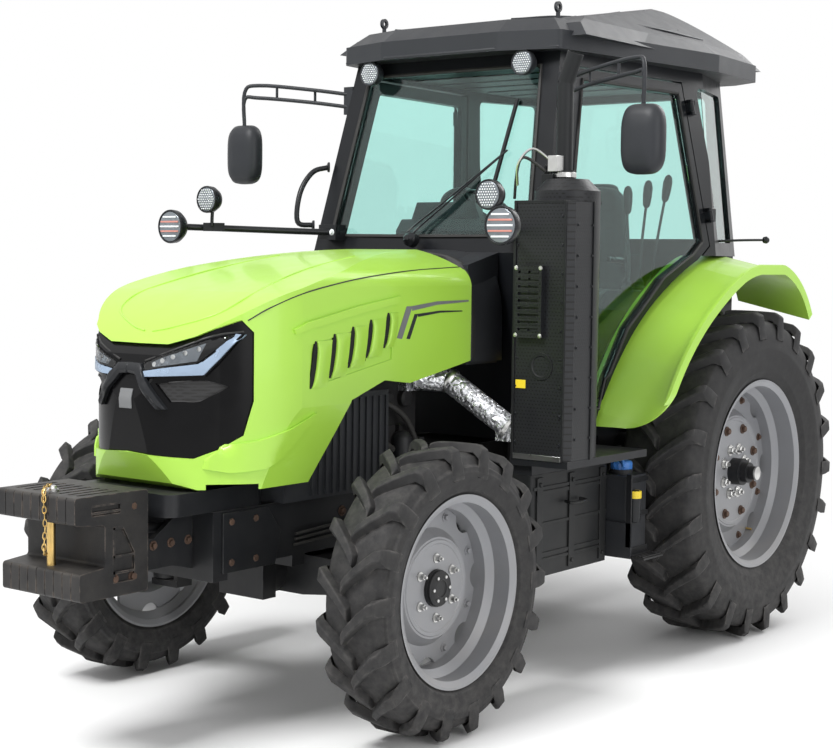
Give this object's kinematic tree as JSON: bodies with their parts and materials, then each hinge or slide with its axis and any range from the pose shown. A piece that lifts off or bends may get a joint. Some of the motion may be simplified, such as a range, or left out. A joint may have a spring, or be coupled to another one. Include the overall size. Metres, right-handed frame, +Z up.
{
  "type": "farm tractor",
  "caption": "Four-wheel-drive farm tractor with a closed glass cab, tilting hood, front weights, side exhaust cabinet and rear three-point hitch.",
  "frame": {"origin": "on the ground under the middle of the whole machine, on its mid-plane", "axes": "+X forward, +Y to the driver's left, +Z up"},
  "size_m": [4.302, 2.2136, 2.82],
  "materials": {
    "green_paint": "gloss lime green paint",
    "tyre": "matt black rubber with grey dust",
    "wheel_paint": "silver grey paint",
    "chassis_black": "satin black paint",
    "weight_iron": "black painted casting",
    "engine_iron": "dark painted casting",
    "dark_plastic": "charcoal moulded plastic",
    "cab_black": "satin black paint",
    "cab_glass": "green tinted safety glass",
    "seat_fabric": "dark woven cloth",
    "exhaust_cover": "matt black pressed steel",
    "pipe_foil": "foil wrapped pipe",
    "lamp_lens": "clear lens",
    "gloss_mask": "gloss black plastic"
  },
  "bodies": {
    "chassis": {"front_axle": "chassis_black", "front_frame": "chassis_black", "front_weights": "weight_iron", "engine_block": "engine_iron", "radiator_screen": "dark_plastic", "transmission_case": "engine_iron", "rear_axle_housing": "chassis_black", "drawbar": "chassis_black", "battery_box": "dark_plastic", "fluid_tank": "dark_plastic", "fuel_tank": "dark_plastic", "cab_frame": "cab_black", "cab_glass": "cab_glass", "cab_roof": "dark_plastic", "cab_tub": "cab_black", "fenders": "green_paint", "cowl": "dark_plastic", "seat": "seat_fabric", "dash_and_wheel": "dark_plastic", "lever_console": "dark_plastic", "exhaust_cabinet": "exhaust_cover", "exhaust_stack": "exhaust_cover", "exhaust_feed_pipe": "pipe_foil", "cabinet_bracket": "chassis_black", "front_lamps": "lamp_lens", "mirrors": "dark_plastic", "roof_lamps": "lamp_lens"},
    "door_left": {"door_left": "cab_black", "door_glass_left": "cab_glass"},
    "door_right": {"door_right": "cab_black", "door_glass_right": "cab_glass"},
    "hood": {"hood_shell": "green_paint", "nose_grille": "gloss_mask"},
    "knuckle_left": {"knuckle_left": "chassis_black"},
    "knuckle_right": {"knuckle_right": "chassis_black"},
    "front_wheel_left": {"front_tyre_left": "tyre", "front_rim_left": "wheel_paint", "front_hub_left": "chassis_black"},
    "front_wheel_right": {"front_tyre_right": "tyre", "front_rim_right": "wheel_paint", "front_hub_right": "chassis_black"},
    "rear_wheel_left": {"rear_tyre_left": "tyre", "rear_rim_left": "wheel_paint", "rear_hub_left": "chassis_black"},
    "rear_wheel_right": {"rear_tyre_right": "tyre", "rear_rim_right": "wheel_paint", "rear_hub_right": "chassis_black"},
    "lift_arms": {"lift_arms": "chassis_black"},
    "lower_links": {"lower_links": "chassis_black"},
    "lift_rods": {"lift_rods": "chassis_black"}
  },
  "joints": [
    {"name": "steer_left", "type": "hinge", "parent": "chassis", "child": "knuckle_left", "pos_m": [1.003, 0.6, 0.518], "axis": [0, 0, 1], "range_deg": [-35, 35]},
    {"name": "steer_right", "type": "hinge", "parent": "chassis", "child": "knuckle_right", "pos_m": [1.003, -0.6, 0.518], "axis": [0, 0, 1], "range_deg": [-35, 35]},
    {"name": "front_spin_left", "type": "hinge", "parent": "knuckle_left", "child": "front_wheel_left", "pos_m": [1.003, 0.747, 0.518], "axis": [0, 1, 0], "continuous": true},
    {"name": "front_spin_right", "type": "hinge", "parent": "knuckle_right", "child": "front_wheel_right", "pos_m": [1.003, -0.747, 0.518], "axis": [0, 1, 0], "continuous": true},
    {"name": "rear_spin_left", "type": "hinge", "parent": "chassis", "child": "rear_wheel_left", "pos_m": [-1.15, 0.762, 0.727], "axis": [0, 1, 0], "continuous": true},
    {"name": "rear_spin_right", "type": "hinge", "parent": "chassis", "child": "rear_wheel_right", "pos_m": [-1.15, -0.762, 0.727], "axis": [0, 1, 0], "continuous": true},
    {"name": "door_swing_left", "type": "hinge", "parent": "chassis", "child": "door_left", "pos_m": [-0.996, 0.674, 2.1], "axis": [0.1796, -0.122, 0.9761], "range_deg": [0, 65]},
    {"name": "door_swing_right", "type": "hinge", "parent": "chassis", "child": "door_right", "pos_m": [-0.996, -0.674, 2.1], "axis": [-0.1796, -0.122, -0.9761], "range_deg": [0, 65]},
    {"name": "hood_tilt", "type": "hinge", "parent": "chassis", "child": "hood", "pos_m": [0.4, 0, 1.64], "axis": [0, -1, 0], "range_deg": [0, 50]},
    {"name": "hitch_lift", "type": "hinge", "parent": "chassis", "child": "lift_arms", "pos_m": [-1.447, 0, 1.06], "axis": [0, 1, 0], "range_deg": [-20, 35]},
    {"name": "link_lift", "type": "hinge", "parent": "chassis", "child": "lower_links", "pos_m": [-1.33, 0, 0.54], "axis": [0, 1, 0], "range_deg": [-16, 28]},
    {"name": "rod_swing", "type": "hinge", "parent": "lower_links", "child": "lift_rods", "pos_m": [-1.72, 0, 0.49], "axis": [0, 1, 0], "range_deg": [-35, 20]}
  ],
  "couplings": [
    {"joint": "steer_right", "follows": "steer_left", "ratio": 1},
    {"joint": "link_lift", "follows": "hitch_lift", "ratio": 0.77},
    {"joint": "rod_swing", "follows": "hitch_lift", "ratio": -0.77}
  ]
}
